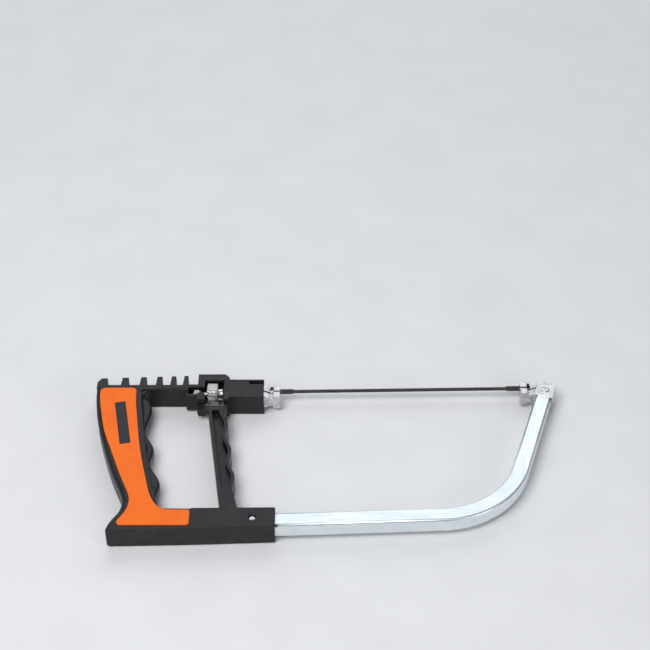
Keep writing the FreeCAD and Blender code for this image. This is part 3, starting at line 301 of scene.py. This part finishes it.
# ---------------------------------------------------------------- mesh helpers

# Two edges that meet at less than SLIVER are not broken, nor is one near a spared spot.
SLIVER = math.radians(24.0)
SPARED_REACH = 1.5
FLAT_DEGREES = 0.4
WELD_REACH = 0.002
NORMAL_WEIGHT = 80


def finish_piece(node, piece):
    """A detailed piece that stands for a CAD node, with its body, slot and material."""
    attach(piece, NODE_BODY[node])
    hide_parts(node)
    piece.data.materials.append(LOOKS[NODE_SLOT[node]])
    return piece


def mesh_piece(node, points, faces, sharp_degrees=35.0):
    """Mesh object from points in millimetres, smooth but for its sharp edges."""
    mesh = bpy.data.meshes.new(node + "_detail")
    mesh.from_pydata([Vector(point) * MM for point in points], [], faces)
    mesh.validate()
    mesh.shade_smooth()
    mesh.set_sharp_from_angle(angle=math.radians(sharp_degrees))
    piece = bpy.data.objects.new(node + "_detail", mesh)
    bpy.context.scene.collection.objects.link(piece)
    return finish_piece(node, piece)


def skin(node, rings, looped=False, sharp_degrees=35.0):
    """Surface through rings of equal count: looped end to start, or closed by flat ends."""
    count = len(rings[0])
    points = [point for ring in rings for point in ring]
    faces = []
    pairs = list(zip(range(len(rings)), range(1, len(rings))))
    if looped:
        pairs.append((len(rings) - 1, 0))
    for first, second in pairs:
        for index in range(count):
            following = (index + 1) % count
            faces.append((first * count + index, first * count + following,
                          second * count + following, second * count + index))
    if not looped:
        faces.append(tuple(reversed(range(count))))
        faces.append(tuple(range((len(rings) - 1) * count, len(rings) * count)))
    return mesh_piece(node, points, faces, sharp_degrees)


def turned_ring(origin, axis, along, radius_at, count):
    """Ring about the X or Z axis through an origin; radius_at takes the angle."""
    ring = []
    for index in range(count):
        angle = FULL_TURN * index / count
        radius = radius_at(angle)
        across, up = radius * math.cos(angle), radius * math.sin(angle)
        if axis == "X":
            ring.append(origin + Vector((along, across, up)))
        else:
            ring.append(origin + Vector((across, up, along)))
    return ring


def turned(node, origin, axis, profile, count=48, looped=False, sharp_degrees=35.0):
    """Turned piece from (place along the axis, radius) pairs; a radius may be a function."""
    rings = []
    for along, radius in profile:
        radius_at = radius if callable(radius) else (lambda angle, fixed=radius: fixed)
        rings.append(turned_ring(origin, axis, along, radius_at, count))
    return skin(node, rings, looped, sharp_degrees)


def weigh_edges(mesh, sharp_degrees, shortest, spared):
    """Marks the sharp edges that can be broken cleanly. The mesh is split along its faces, so
    points are matched by place; an edge that meets another at a sliver of an angle is left."""
    keys = [tuple(round(value / MM, 3) for value in vertex.co) for vertex in mesh.vertices]
    normals = {}
    for polygon in mesh.polygons:
        corners = [keys[index] for index in polygon.vertices]
        for first, second in zip(corners, corners[1:] + corners[:1]):
            normals.setdefault(frozenset((first, second)), []).append(polygon.normal.copy())
    turn = {}
    for edge, sides in normals.items():
        turn[edge] = math.degrees(sides[0].angle(sides[1], 0.0)) if len(sides) == 2 else 0.0
    around = {}
    for edge, degrees in turn.items():
        if degrees > FLAT_DEGREES and len(edge) == 2:
            first, second = edge
            around.setdefault(first, []).append(second)
            around.setdefault(second, []).append(first)

    def clean(edge):
        first, second = edge
        if (Vector(second) - Vector(first)).length < shortest:
            return False
        if any((Vector(end) - spot).length < SPARED_REACH for end in edge for spot in spared):
            return False
        for start, end in ((first, second), (second, first)):
            way = Vector(end) - Vector(start)
            for other in around.get(start, []):
                if other != end and way.angle(Vector(other) - Vector(start), 0.0) < SLIVER:
                    return False
        return True

    weights = mesh.attributes.new("bevel_weight_edge", "FLOAT", "EDGE")
    for index, edge in enumerate(mesh.edges):
        key = frozenset((keys[edge.vertices[0]], keys[edge.vertices[1]]))
        if len(key) == 2 and turn.get(key, 0.0) > sharp_degrees and clean(key):
            weights.data[index].value = 1.0


def eased(node, width, segments=2, sharp_degrees=30.0, shortest=0.5, spared=()):
    """A CAD node shown as it is, with its sharp edges broken and its own material."""
    shown = frame["nodes"][node]
    mesh = shown.data
    normals = mesh.attributes.get("custom_normal")
    if normals is not None:
        mesh.attributes.remove(normals)
    mesh.shade_smooth()
    weigh_edges(mesh, sharp_degrees, shortest, spared)
    mesh.materials.clear()
    mesh.materials.append(LOOKS[NODE_SLOT[node]])
    weld = shown.modifiers.new("weld", "WELD")
    weld.merge_threshold = WELD_REACH * MM
    planar = shown.modifiers.new("flats", "DECIMATE")
    planar.decimate_type = "DISSOLVE"
    planar.angle_limit = math.radians(FLAT_DEGREES)
    bevel = shown.modifiers.new("ease", "BEVEL")
    bevel.width = width * MM
    bevel.segments = segments
    bevel.limit_method = "WEIGHT"
    bevel.use_clamp_overlap = False
    weighted = shown.modifiers.new("normals", "WEIGHTED_NORMAL")
    weighted.keep_sharp = True
    weighted.weight = NORMAL_WEIGHT


# ---------------------------------------------------------------- CAD nodes shown eased

# The foot of the grip's corner rib, where three rounded faces run out together.
casting_low, casting_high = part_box("handle_frame")
RIB_FOOT_Y = 61.1
RIB_FOOT_INSET = 3.6
rib_feet = [Vector((casting_low.x / MM, RIB_FOOT_Y, height / MM + shift))
            for height, shift in ((casting_low.z, RIB_FOOT_INSET),
                                  (casting_high.z, -RIB_FOOT_INSET))]
eased("handle_frame", 0.30, spared=rib_feet)
eased("grip_inlay_front", 0.05, segments=1)
eased("grip_inlay_back", 0.05, segments=1)
eased("bow", 0.12)
eased("front_holder", 0.25)
eased("rear_holder", 0.30)
eased("thrust_washer", 0.12)
eased("rod_end_clip", 0.10)
eased("rod_pin", 0.12)
eased("inlay_nut", 0.10)
eased("inlay_screw", 0.10)


# ---------------------------------------------------------------- knurled nut

NUT_HEAD = 8.6
NUT_COLLAR_RADIUS = 4.5
NUT_CHAMFER = 0.7
KNURL_COUNT = 42
KNURL_PITCH = 1.75
KNURL_DEPTH = 0.42
KNURL_SAMPLES = 9
KNURL_FLATTENING = 1.25
THREAD_PLAY = 0.05
BORE_CHAMFER = 0.4
FACE_EASE = 0.35
FACE_RISE = 0.12
COLLAR_EASE = 0.25


def ridge(value):
    """0 in a groove and 1 midway between two grooves."""
    return 1.0 - abs(2.0 * (value - math.floor(value)) - 1.0)


def knurl_height(along, angle):
    """Height of the diamond knurl, whose points are a little flattened."""
    turns = angle / FULL_TURN * KNURL_COUNT / 2
    rise = along / KNURL_PITCH
    height = min(ridge(turns + rise), ridge(turns - rise)) * KNURL_FLATTENING
    return min(1.0, height)


def knurled_nut():
    """Nut from its rear face: knurled head, then the plain collar."""
    low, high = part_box("knurled_nut")
    head_radius = (high.y - low.y) / 2 / MM
    length = (high.x - low.x) / MM
    bore = span_of("tension_rod").y / 2 + THREAD_PLAY
    face_radius = head_radius - NUT_CHAMFER
    origin = Vector((low.x / MM, centre_of("knurled_nut").y, centre_of("knurled_nut").z))
    profile = [(BORE_CHAMFER, bore), (0.0, bore + BORE_CHAMFER), (0.0, face_radius - FACE_EASE),
               (FACE_RISE, face_radius)]
    start, end = NUT_CHAMFER, NUT_HEAD - NUT_CHAMFER
    steps = int((end - start) / KNURL_PITCH * KNURL_SAMPLES)
    for step in range(steps + 1):
        along = start + (end - start) * step / steps
        profile.append((along, lambda angle, at=along: head_radius
                        - KNURL_DEPTH * (1.0 - knurl_height(at, angle))))
    profile += [(NUT_HEAD - FACE_RISE, face_radius), (NUT_HEAD, face_radius - FACE_EASE),
                (NUT_HEAD, NUT_COLLAR_RADIUS + FACE_EASE),
                (NUT_HEAD + 0.10, NUT_COLLAR_RADIUS + 0.10),
                (NUT_HEAD + FACE_EASE, NUT_COLLAR_RADIUS),
                (length - COLLAR_EASE, NUT_COLLAR_RADIUS),
                (length, NUT_COLLAR_RADIUS - COLLAR_EASE),
                (length, bore + BORE_CHAMFER), (length - BORE_CHAMFER, bore)]
    turned("knurled_nut", origin, "X", profile, count=KNURL_COUNT * KNURL_SAMPLES, looped=True,
           sharp_degrees=28.0)


knurled_nut()


# ---------------------------------------------------------------- threaded rod

THREAD_PITCH = 0.8
THREAD_DEPTH = 0.43
THREAD_SAMPLES = 8
THREAD_START = 1.75
THREAD_RUN = 22.4
THREAD_CREST = 1.2
THREAD_END = 0.2
ROD_CHAMFER = 0.4
# Start, end and radius of the groove for the ring on the rod's end.
CLIP_GROOVE = (0.6, 1.54, 2.1)


def tension_rod():
    """Rod from its rear end: chamfer, groove, thread that fades at both ends, plain shank."""
    low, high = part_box("tension_rod")
    length = (high.x - low.x) / MM
    radius = (high.y - low.y) / 2 / MM
    origin = Vector((low.x / MM, centre_of("tension_rod").y, centre_of("tension_rod").z))
    groove_low, groove_high, groove_radius = CLIP_GROOVE
    profile = [(0.0, radius - ROD_CHAMFER), (ROD_CHAMFER, radius), (groove_low, radius),
               (groove_low, groove_radius), (groove_high, groove_radius),
               (groove_high, radius - 0.05)]
    steps = int(THREAD_RUN / THREAD_PITCH * THREAD_SAMPLES)
    for step in range(steps + 1):
        along = THREAD_START + THREAD_RUN * step / steps
        fade = min(1.0, step / THREAD_SAMPLES, (steps - step) / THREAD_SAMPLES)
        profile.append((along, lambda angle, at=along, deep=fade: radius - THREAD_DEPTH * deep
                        * min(1.0, THREAD_CREST * ridge(at / THREAD_PITCH - angle / FULL_TURN))))
    profile += [(THREAD_START + THREAD_RUN + THREAD_END, radius), (length, radius)]
    turned("tension_rod", origin, "X", profile, count=48, sharp_degrees=50.0)


tension_rod()


# ---------------------------------------------------------------- blade

TAB_HALF = 2.3
TAB_LENGTH = 19.0
BLADE_END = 2.3
BACK_DROP = 1.5
GULLET = 1.05
TOOTH_DEPTH = 0.75
TOOTH_PITCH = 1.45
TOOTH_SET = (0.13, -0.13, 0.0)
TOOTH_TIP_SHARE = 0.25
TAB_TAPER = 1.0
TAB_STEP = 0.4
BLADE_MIDDLE_ROW = 0.8


def blade():
    """Flat blade between its pins, with plain ends and teeth bent to alternate sides."""
    rear_pin, front_pin = centre_of("blade_pin_rear"), centre_of("blade_pin_front")
    along = front_pin - rear_pin
    pitch = along.length
    way = along.normalized()
    up = Vector((-way.y, way.x, 0))
    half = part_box("blade")[1].z / MM - rear_pin.z
    rear, front = -BLADE_END, pitch + BLADE_END
    first, last = rear + TAB_LENGTH, front - TAB_LENGTH
    count = int((last - first) / TOOTH_PITCH)
    tooth = (last - first) / count
    columns = [(rear, -TAB_HALF, TAB_HALF, 0.0), (first - 2 * TAB_TAPER, -TAB_HALF, TAB_HALF, 0.0),
               (first - TAB_TAPER, -TAB_HALF + TAB_STEP, TAB_HALF, 0.0), (first, -BACK_DROP, GULLET, 0.0)]
    for index in range(count):
        start = first + index * tooth
        lean = TOOTH_SET[index % len(TOOTH_SET)]
        columns.append((start + tooth * TOOTH_TIP_SHARE, -BACK_DROP, GULLET + TOOTH_DEPTH, lean))
        columns.append((start + tooth, -BACK_DROP, GULLET, 0.0))
    columns += [(last + TAB_TAPER, -TAB_HALF + TAB_STEP, TAB_HALF, 0.0),
                (last + 2 * TAB_TAPER, -TAB_HALF, TAB_HALF, 0.0), (front, -TAB_HALF, TAB_HALF, 0.0)]
    points, faces = [], []
    for run, low, high, lean in columns:
        for side in (-half, half):
            for level, shift in ((low, 0.0), (BLADE_MIDDLE_ROW, 0.0), (high, lean)):
                place = rear_pin + way * run + up * level
                points.append((place.x, place.y, place.z + side + shift))
    for index in range(len(columns) - 1):
        here, there = index * 6, index * 6 + 6
        for row in (0, 1):
            faces.append((here + row + 1, there + row + 1, there + row, here + row))
            faces.append((here + 3 + row, there + 3 + row, there + 4 + row, here + 4 + row))
        faces.append((here, there, there + 3, here + 3))
        faces.append((here + 5, there + 5, there + 2, here + 2))
    final = (len(columns) - 1) * 6
    faces += [(0, 3, 4, 1), (1, 4, 5, 2), (final + 1, final + 4, final + 3, final),
              (final + 2, final + 5, final + 4, final + 1)]
    mesh_piece("blade", points, faces, sharp_degrees=20.0)


blade()


# ---------------------------------------------------------------- pins and rivet

def pin(node, ease):
    """Straight pin across the saw with broken edges."""
    size, middle = span_of(node), centre_of(node)
    half, radius = size.z / 2, size.x / 2
    turned(node, middle, "Z", [(-half, radius - ease), (-half + ease, radius),
                               (half - ease, radius), (half, radius - ease)], count=32)


BLADE_PIN_EASE = 0.25
for name in ("blade_pin_rear", "blade_pin_front"):
    pin(name, BLADE_PIN_EASE)


def domed_pin(node):
    """Bow pin, its ends slightly domed."""
    size, middle = span_of(node), centre_of(node)
    half, radius = size.z / 2, size.x / 2
    end = [(half, 0.25), (half - 0.05, 0.35 * radius), (half - 0.16, 0.65 * radius),
           (half - 0.34, 0.88 * radius), (half - 0.55, 0.97 * radius), (half - 0.8, radius)]
    start = [(-along, reach) for along, reach in end]
    turned(node, middle, "Z", start + end[::-1], count=48, sharp_degrees=60.0)


domed_pin("bow_pin")

RIVET_SHANK = 1.9
RIVET_HEAD = 0.6


def saddle_rivet():
    """Rivet through the saddle, low round heads with a set-punch dimple."""
    size, middle = span_of("front_rivet"), centre_of("front_rivet")
    half, radius = size.z / 2, size.x / 2
    head = [(half - 0.30, 0.15), (half - 0.28, 0.45), (half, 0.95), (half - 0.05, 1.6),
            (half - 0.20, 2.3), (half - 0.42, radius - 0.12), (half - RIVET_HEAD, radius),
            (half - RIVET_HEAD, RIVET_SHANK)]
    start = [(-along, reach) for along, reach in head]
    turned("front_rivet", middle, "Z", start + head[::-1], count=48, sharp_degrees=50.0)


saddle_rivet()


# ---------------------------------------------------------------- nameplates

PLATE_LENGTH = 42.3
PLATE_WIDTH = 7.6
PLATE_TURN = math.radians(100.0)


def rounded_outline(half_long, half_wide, corner):
    """Points round a rectangle with rounded corners, anticlockwise."""
    outline = []
    for corner_index, (sign_x, sign_y) in enumerate(((1, 1), (-1, 1), (-1, -1), (1, -1))):
        for step in range(7):
            angle = (corner_index + step / 6) * math.pi / 2
            outline.append((sign_x * (half_long - corner) + corner * math.cos(angle),
                            sign_y * (half_wide - corner) + corner * math.sin(angle)))
    return outline


def nameplate(node, side):
    """Plain plate with a raised rim, turned to the lie of the grip; side is +1 or -1."""
    middle = centre_of(node)
    half = span_of(node).z / 2
    levels = [(0.0, -half), (0.0, half - 0.08), (0.08, half), (0.50, half), (0.62, half - 0.14)]
    rings = []
    for inset, height in levels:
        ring = []
        outline = rounded_outline(PLATE_LENGTH / 2 - inset, PLATE_WIDTH / 2 - inset,
                                  max(0.2, 0.8 - inset))
        for long, wide in (outline if side > 0 else outline[::-1]):
            x = long * math.cos(PLATE_TURN) - wide * math.sin(PLATE_TURN)
            y = long * math.sin(PLATE_TURN) + wide * math.cos(PLATE_TURN)
            ring.append(middle + Vector((x, y, side * height)))
        rings.append(ring)
    skin(node, rings)


nameplate("nameplate_front", 1)
nameplate("nameplate_back", -1)


# ---------------------------------------------------------------- floor, light and camera

def floor():
    bpy.ops.mesh.primitive_plane_add(size=8.0, location=(0, 0, 0))
    ground = bpy.context.object
    ground.name = "floor"
    look = Surface("pale_floor", specular=0.3)
    look.colour(look.mixed(look.ranged(look.noise(0.02, detail=3.0), 0, 1),
                           (0.80, 0.80, 0.81), (0.83, 0.83, 0.84)))
    look.roughness(look.ranged(look.noise(0.1), 0.55, 0.65))
    ground.data.materials.append(look.material)


def area_light(name, place, target, width, height, power, tint=(1.0, 1.0, 1.0)):
    data = bpy.data.lights.new(name, "AREA")
    data.shape = "RECTANGLE"
    data.size, data.size_y = width, height
    data.energy = power
    data.color = tint
    light = bpy.data.objects.new(name, data)
    light.location = place
    way = Vector(target) - Vector(place)
    light.rotation_mode = "QUATERNION"
    light.rotation_quaternion = way.to_track_quat("-Z", "Y")
    bpy.context.scene.collection.objects.link(light)


floor()
area_light("back_panel", (0.0, 1.15, 1.05), (0, 0, 0), 1.8, 1.1, 6.6, (0.93, 0.98, 1.0))
area_light("key", (-0.45, -0.55, 1.35), (0, 0, 0), 0.8, 0.8, 13.5)
area_light("front_right", (0.9, -0.8, 0.5), (0, 0, 0), 0.5, 0.4, 2.0)

bpy.context.scene.view_settings.view_transform = "Standard"
world = bpy.data.worlds.new("studio")
world.use_nodes = True
world.node_tree.nodes["Background"].inputs["Color"].default_value = (0.90, 0.94, 1.0, 1.0)
world.node_tree.nodes["Background"].inputs["Strength"].default_value = 0.30
bpy.context.scene.world = world

# The camera looks down at the saw at 42.5 degrees from in front of the bow.
CAMERA_TARGET = Vector((-0.00164, 0.12975, 0.0188))
CAMERA_DISTANCE = 1.267
CAMERA_ELEVATION = math.radians(42.5)
CAMERA_LENS = 91.0
camera_data = bpy.data.cameras.new("camera")
camera_data.sensor_width = 36.0
camera_data.lens = CAMERA_LENS
camera = bpy.data.objects.new("camera", camera_data)
camera_back = Vector((0, -math.cos(CAMERA_ELEVATION), math.sin(CAMERA_ELEVATION)))
camera.location = CAMERA_TARGET + camera_back * CAMERA_DISTANCE
camera.rotation_mode = "QUATERNION"
camera.rotation_quaternion = (-camera_back).to_track_quat("-Z", "Y")
bpy.context.scene.collection.objects.link(camera)
bpy.context.scene.camera = camera
